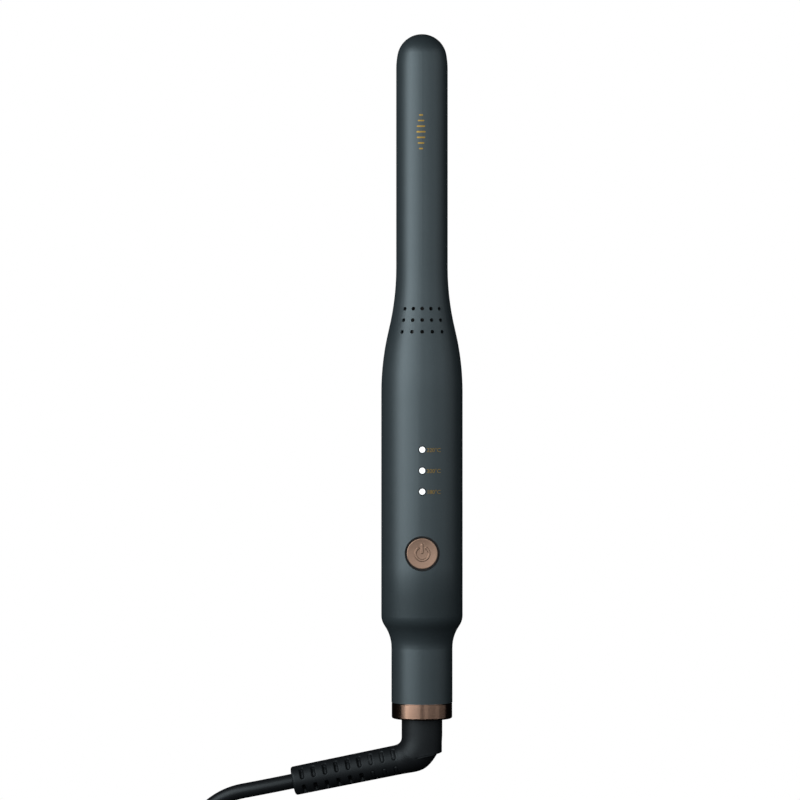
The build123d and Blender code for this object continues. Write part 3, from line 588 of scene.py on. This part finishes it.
# %% Coil straps
strap_width = 12.0 * MM
strap_angles = (75, 215, 330)
coil_slack = 0.15 * MM
hoop_width = (turns_across - 1) * coil_pitch + cord_diameter + 2 * coil_slack
hoop_height = coil_pitch + cord_diameter + coil_slack
sheet_thickness = 0.9 * MM
hoop_lift = 0.6 * MM
lap_lift = 1.6 * MM
lap_from, lap_to = 0.2, 0.36
columns_each_side = 5
wave_height = 0.08 * MM
wave_along, wave_across = 1.7, 0.9


def hoop_point(share, lift):
    """A point of the strap's path round the coil's section, as (outwards, up)."""
    half_wide, half_high = hoop_width / 2 + lift, hoop_height / 2 + lift
    bend = cord_diameter / 2 + lift
    runs = [2 * (half_high - bend), math.pi / 2 * bend, 2 * (half_wide - bend),
            math.pi / 2 * bend] * 2
    left = share % 1 * sum(runs)
    corners = [(1, 1), (-1, 1), (-1, -1), (1, -1)]
    place, angle = Vector((half_wide, -(half_high - bend))), 90
    for index, run in enumerate(runs):
        way = Vector((math.cos(math.radians(angle)), math.sin(math.radians(angle))))
        if index % 2 == 0:
            if left <= run:
                return place + way * left
            place = place + way * run
        else:
            side = corners[index // 2]
            middle = Vector((side[0] * (half_wide - bend), side[1] * (half_high - bend)))
            turn = math.radians(angle - 90) + min(left, run) / bend
            point = middle + Vector((math.cos(turn), math.sin(turn))) * bend
            if left <= run:
                return point
            place, angle = point, angle + 90
        left -= run
    # rounding may leave a trace past the last run, which ends where the first began
    return place


def band(skin, angle, start, end, lift, steps):
    """A stretch of strap, as a grid of points across and along it."""
    out = Vector((math.cos(math.radians(angle)), math.sin(math.radians(angle)), 0))
    beside = Vector((-out.y, out.x, 0))
    rows = []
    for step in range(steps + 1):
        spot = hoop_point(start + (end - start) * step / steps, lift)
        row = []
        for across in range(-columns_each_side, columns_each_side + 1):
            wave = wave_height * math.sin(step * wave_along + across * wave_across)
            middle = coil_centre.xy.to_3d() + out * (coil_radius + spot.x)
            height = strap_thickness + hoop_height / 2 + spot.y
            aside = beside * (across * strap_width / (2 * columns_each_side))
            row.append(skin.verts.new(middle + aside + Vector((0, 0, height + max(wave, 0)))))
        rows.append(row)
    for row, after in zip(rows, rows[1:]):
        for here in range(len(row) - 1):
            skin.faces.new((row[here], row[here + 1], after[here + 1], after[here]))


webbing = bmesh.new()
for angle in strap_angles:
    band(webbing, angle, 0.0, 1.0, hoop_lift, steps=96)
    band(webbing, angle, lap_from, lap_to, lap_lift, steps=24)
bmesh.ops.recalc_face_normals(webbing, faces=webbing.faces)
straps = in_scene("coil_straps", mesh_from("coil_straps", webbing))
for face in straps.data.polygons:
    face.use_smooth = True
thicken(straps, sheet_thickness, 0)
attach(straps, "cord_end")
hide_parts("cord_ties")
print("strap faces:", len(straps.data.polygons))

# %% [markdown]
# ## Finishes
#
# Each finish is named for what the real one is and how its surface was made. Colours are
# written as sRGB hex values, as a paint maker would give them, and one function turns them
# into the linear numbers that a shader wants. One more function adds a node with its
# settings and its links. Patterns take their scale from a size in millimetres.
#
# A Mix node has several sockets of the same name, so its colours and its factor are found
# by their numbers, and so are the two shaders of a Mix Shader. The roughness of a grained
# surface varies evenly about its value, and that of brushed metal varies more upwards.

# %% Colour and node helpers
cloud_size = 6.0
satin_spread = 0.04
satin_below, satin_above = 0.05, 0.08
clear_length = 0.2 * MM
mix_share, mix_first, mix_second, mix_colour = 0, 6, 7, 2
shader_share, shader_first, shader_second = 0, 1, 2


def linear(hex_code):
    """An sRGB hex colour as linear RGBA, by the sRGB standard's own formula."""
    channels = [int(hex_code[start : start + 2], 16) / 255 for start in (1, 3, 5)]
    return [c / 12.92 if c <= 0.04045 else ((c + 0.055) / 1.055) ** 2.4 for c in channels] + [1.0]


def add_node(tree, kind, settings=None, links=None):
    """Adds a node, sets its properties and sockets, and links sources to its inputs."""
    node = tree.nodes.new(kind)
    for name, value in (settings or {}).items():
        if isinstance(name, str) and hasattr(node, name):
            setattr(node, name, value)
        else:
            node.inputs[name].default_value = value
    for name, source in (links or {}).items():
        tree.links.new(source, node.inputs[name])
    return node


def noise(tree, size, detail, place):
    """A noise pattern whose spots have a size in millimetres."""
    return add_node(
        tree, "ShaderNodeTexNoise", {"Scale": 1 / (size * MM), "Detail": detail},
        {"Vector": place},
    ).outputs["Fac"]


def blend(tree, first, second, share):
    """A colour between two linear ones."""
    return add_node(
        tree, "ShaderNodeMix", {"data_type": "RGBA", mix_first: first, mix_second: second},
        {mix_share: share},
    ).outputs[mix_colour]


def spread(tree, low, high, value):
    """A pattern's 0 to 1 as low to high."""
    return add_node(
        tree, "ShaderNodeMapRange", {"To Min": low, "To Max": high}, {"Value": value}
    ).outputs["Result"]


def bumped(tree, strength, distance, height):
    """A bump node for a pattern of heights."""
    return add_node(
        tree, "ShaderNodeBump", {"Strength": strength, "Distance": distance}, {"Height": height}
    )


def new_finish(name):
    """An empty material with its output node."""
    finish = bpy.data.materials.new(name)
    finish.use_nodes = True
    tree = finish.node_tree
    tree.nodes.clear()
    place = add_node(tree, "ShaderNodeTexCoord").outputs["Object"]
    output = add_node(tree, "ShaderNodeOutputMaterial")
    return finish, tree, place, output


def grained(name, low_hex, high_hex, roughness, grain, depth, sockets=None, contour=None,
            masked_below=None):
    """A moulded or sprayed surface: fine grain in the bump, faint clouds in the colour.

    The size of the grain and its depth are in millimetres. contour(tree, place) may return
    the heights of a larger shape under the grain, in millimetres too. Below the height
    masked_below the surface is sprayed black and gives no light.
    """
    finish, tree, place, output = new_finish(name)
    clouds = noise(tree, cloud_size, 3.0, place)
    colour = blend(tree, linear(low_hex), linear(high_hex), clouds)
    speckle = noise(tree, grain, 2.0, place)
    satin = spread(tree, roughness - satin_spread, roughness + satin_spread, speckle)
    bump = bumped(tree, 0.5, depth * MM, speckle)
    if contour is not None:
        under = bumped(tree, 1.0, MM, contour(tree, place))
        tree.links.new(under.outputs["Normal"], bump.inputs["Normal"])
    shader = add_node(
        tree,
        "ShaderNodeBsdfPrincipled",
        sockets or {},
        {"Base Color": colour, "Roughness": satin, "Normal": bump.outputs["Normal"]},
    )
    surface = shader.outputs["BSDF"]
    if masked_below is not None:
        height = add_node(tree, "ShaderNodeSeparateXYZ", {}, {"Vector": place}).outputs["Z"]
        clear = add_node(
            tree, "ShaderNodeMath", {"operation": "GREATER_THAN", 1: masked_below}, {0: height}
        )
        spray = add_node(
            tree,
            "ShaderNodeBsdfPrincipled",
            {"Base Color": linear("#0d0d0e"), "Roughness": 0.6},
        )
        surface = add_node(
            tree,
            "ShaderNodeMixShader",
            {},
            {
                shader_share: clear.outputs["Value"],
                shader_first: spray.outputs["BSDF"],
                shader_second: surface,
            },
        ).outputs["Shader"]
    tree.links.new(surface, output.inputs["Surface"])
    return finish


def give(finish, *objects):
    """Puts a finish on objects, in their only material slot."""
    for obj in objects:
        obj.data.materials.clear()
        obj.data.materials.append(finish)


def woven(name, low_hex, high_hex, pitch, depth):
    """A woven band: slightly uneven threads, by their pitch and depth in millimetres."""
    finish, tree, place, output = new_finish(name)
    threads = add_node(
        tree, "ShaderNodeTexVoronoi", {"Scale": 1 / (pitch * MM), "Randomness": 0.25},
        {"Vector": place},
    ).outputs["Distance"]
    colour = blend(tree, linear(high_hex), linear(low_hex), threads)
    bump = bumped(tree, 0.8, depth * MM, threads)
    shader = add_node(
        tree,
        "ShaderNodeBsdfPrincipled",
        {"Roughness": 0.85, "Sheen Weight": 0.3, "Sheen Roughness": 0.5},
        {"Base Color": colour, "Normal": bump.outputs["Normal"]},
    )
    tree.links.new(shader.outputs["BSDF"], output.inputs["Surface"])
    return finish


round_ways = (0.02, 1.0, 0.02)
long_ways = (1.0, 0.02, 1.0)
even_ways = (1.0, 1.0, 1.0)


def brushed(name, low_hex, high_hex, roughness, line, depth, ways=round_ways):
    """Metal with fine tool lines, by their width and depth in millimetres.

    The lines run the way in which the pattern's scale is small.
    """
    finish, tree, place, output = new_finish(name)
    stretch = add_node(tree, "ShaderNodeMapping", {"Scale": ways}, {"Vector": place})
    lines = noise(tree, line, 3.0, stretch.outputs["Vector"])
    colour = blend(tree, linear(low_hex), linear(high_hex), lines)
    satin = spread(tree, roughness - satin_below, roughness + satin_above, lines)
    bump = bumped(tree, 0.5, depth * MM, lines)
    shader = add_node(
        tree,
        "ShaderNodeBsdfPrincipled",
        {"Metallic": 1.0},
        {"Base Color": colour, "Roughness": satin, "Normal": bump.outputs["Normal"]},
    )
    tree.links.new(shader.outputs["BSDF"], output.inputs["Surface"])
    return finish


# %% [markdown]
# The shell's finish carries one larger shape under its grain: its shading eases inwards
# before the shoulder. The outline stays as the shell has it. The light guide's finish has a
# black coat on all but the ends of its pins, so that light leaves only at the windows.

# %% Easing before the shoulder
shoulder_ease = 3.0
ease_from = y_tip - 196.0 * MM
ease_to = y_tip - 226.2 * MM


def ease_to_shoulder(tree, place):
    """Millimetres that the shell's shading drops towards its shoulder."""
    along = add_node(tree, "ShaderNodeSeparateXYZ", {}, {"Vector": place}).outputs["Y"]
    drop = add_node(
        tree,
        "ShaderNodeMapRange",
        {"interpolation_type": "SMOOTHSTEP", "From Min": ease_to, "From Max": ease_from,
         "To Min": -shoulder_ease, "To Max": 0.0},
        {"Value": along},
    )
    return drop.outputs["Result"]


# %% Finishes for the material slots
cool = {"Specular Tint": linear("#dff6ff")}
dull = {"Specular Tint": linear("#e7f8ff"), "Specular IOR Level": 0.19}
lit = {"Emission Color": linear("#f7fcff"), "Emission Strength": 0.4}
finishes = {
    "barrel_coating": grained(
        "ceramic_coating_on_aluminium", "#1f2629", "#232a2d", 0.42, 0.3, 0.008, cool),
    "shell_resin": grained(
        "soft_touch_paint_on_abs", "#1f2629", "#232a2d", 0.42, 0.35, 0.01, cool,
        ease_to_shoulder),
    "bronze_anodised": brushed(
        "anodised_bronze_aluminium", "#745d50", "#846d5f", 0.19, 0.12, 0.004),
    "stub_resin": grained("matt_nylon", "#0b0d0f", "#0f1113", 0.5, 0.3, 0.015, dull),
    "relief_rubber": grained(
        "moulded_pvc", "#0b0d0f", "#0f1113", 0.5, 0.4, 0.02, dull),
    "cord_jacket": grained("pvc_cord_jacket", "#0d0f11", "#111315", 0.42, 0.5, 0.02, dull),
    "tie_strap": woven("hook_and_loop_webbing", "#0d0e10", "#1c1e21", 0.55, 0.12),
    "plug_resin": grained("moulded_plug_pvc", "#121416", "#17191b", 0.45, 0.5, 0.02),
    "blade_brass": brushed("drawn_brass", "#b39353", "#c9aa66", 0.25, 0.1, 0.003),
    "heat_resin": grained("glass_filled_pps", "#1b1b1c", "#262627", 0.55, 0.25, 0.02),
    "heater_ceramic": grained("fired_ptc_ceramic", "#d8d4c8", "#e6e3da", 0.6, 0.4, 0.02),
    "mica": grained("mica_sheet", "#8a744c", "#b09a6a", 0.35, 1.2, 0.01),
    "spreader_aluminium": brushed(
        "extruded_aluminium", "#a9adb0", "#bfc3c6", 0.3, 0.1, 0.004, long_ways),
    "spring_steel": brushed("rolled_spring_steel", "#8a8d90", "#a3a6a9", 0.28, 0.1, 0.003),
    "wire_sleeve": grained("silicone_sleeve", "#c9c7bf", "#dad8d1", 0.5, 0.6, 0.02),
    "board_laminate": grained("green_solder_mask", "#12492a", "#185c36", 0.3, 0.8, 0.008),
    "component_black": grained("moulded_epoxy", "#121213", "#1b1b1c", 0.45, 0.2, 0.01),
    "capacitor_yellow": grained("film_capacitor_case", "#c79a1c", "#dcb02c", 0.35, 0.6, 0.01),
    "varistor_blue": grained("dipped_epoxy", "#16397c", "#1f4994", 0.25, 1.0, 0.02),
    "lens_white": grained(
        "lit_acrylic_light_guide", "#c4cacd", "#d6dbdd", 0.3, 0.5, 0.003, lit,
        masked_below=lights_high.z - clear_length),
    "acetal": grained("natural_acetal", "#d2cec4", "#dedad1", 0.4, 0.5, 0.01),
    "contact_brass": brushed("turned_brass", "#b6924c", "#cdaa60", 0.22, 0.08, 0.002),
    "brush_carbon": grained("pressed_carbon", "#1a1a1b", "#2a2a2c", 0.6, 0.15, 0.02),
    "screw_steel": brushed(
        "zinc_plated_steel", "#93979b", "#adb1b5", 0.3, 0.15, 0.003, even_ways),
    "cap_bronze": brushed("blasted_bronze_cap", "#756154", "#846e60", 0.36, 0.12, 0.004),
    "gold_print": brushed(
        "gold_foil_print", "#6e5b2c", "#806a36", 0.45, 0.2, 0.002, even_ways),
}

slots = {part["node"]: part["material_slot"] for part in frame["record"]["subparts"]}
for name, node in nodes.items():
    give(finishes[slots[name]], node)
give(finishes["relief_rubber"], relief)
give(finishes["cord_jacket"], power_cord)
give(finishes["tie_strap"], straps)
give(finishes["cap_bronze"], button_cap)
give(finishes["component_black"], button_skirt)
give(finishes["gold_print"], barrel_mark, *labels)
print("finishes:", len(finishes))

# %% [markdown]
# ## Light and floor
#
# A bank of soft strip lights bends over the tool like a tent. The strips on its left are
# the strong ones, so that a broad bright band runs down the left of every round part and
# fades to the right, and the one straight above the tool is weak. The camera stands above
# the bank and looks down through it, so the strips are hidden from it. The bank stands a
# little towards the tip, which leaves the shoulder at the other end dark. The floor is white
# paper that glows by itself, so no shadow falls on it, and the air is white to the camera
# but almost black to the tool.

# %% Lights
light_distance = 0.9
strip_size = (0.24, 0.95)
strip_forward = 0.28
# watts of each strip, by its tilt from straight above in degrees
strip_powers = {
    -75: 1.8, -60: 5.0, -45: 3.6, -30: 3.0, -15: 2.4,
    0: 0.7, 15: 1.6, 30: 0.9, 45: 0.8, 60: 1.1, 75: 0.5, 90: 0.5,
}
for tilt, power in strip_powers.items():
    strip = bpy.data.lights.new(f"strip_{tilt}", "AREA")
    strip.shape = "RECTANGLE"
    strip.size, strip.size_y = strip_size
    strip.energy = power
    lamp = in_scene(strip.name, strip)
    lamp.visible_camera = False
    lamp.matrix_world = (
        Matrix.Translation((0, strip_forward, axis_height))
        @ Matrix.Rotation(math.radians(tilt), 4, "Y")
        @ Matrix.Translation((0, 0, light_distance))
    )
print("strip lights:", len(strip_powers))

# %% Floor and surroundings
floor_size = 4.0
white = linear("#ffffff")
dim = linear("#0d0e10")
bpy.ops.object.select_all(action="DESELECT")
bpy.ops.mesh.primitive_plane_add(size=floor_size, location=(0, 0, 0))
floor = bpy.context.active_object
floor.name = "floor"
paper, paper_tree, _, paper_output = new_finish("white_paper_floor")
glow = add_node(paper_tree, "ShaderNodeEmission", {"Color": white, "Strength": 1.0})
paper_tree.links.new(glow.outputs["Emission"], paper_output.inputs["Surface"])
give(paper, floor)
floor.visible_diffuse = False
floor.visible_glossy = False

world = bpy.data.worlds.new("studio")
bpy.context.scene.world = world
world.use_nodes = True
world.node_tree.nodes.clear()
seen = add_node(world.node_tree, "ShaderNodeLightPath").outputs["Is Camera Ray"]
air = blend(world.node_tree, dim, white, seen)
background = add_node(world.node_tree, "ShaderNodeBackground", {}, {"Color": air})
world_output = add_node(world.node_tree, "ShaderNodeOutputWorld")
world.node_tree.links.new(background.outputs["Background"], world_output.inputs["Surface"])
bpy.context.scene.view_settings.view_transform = "Standard"
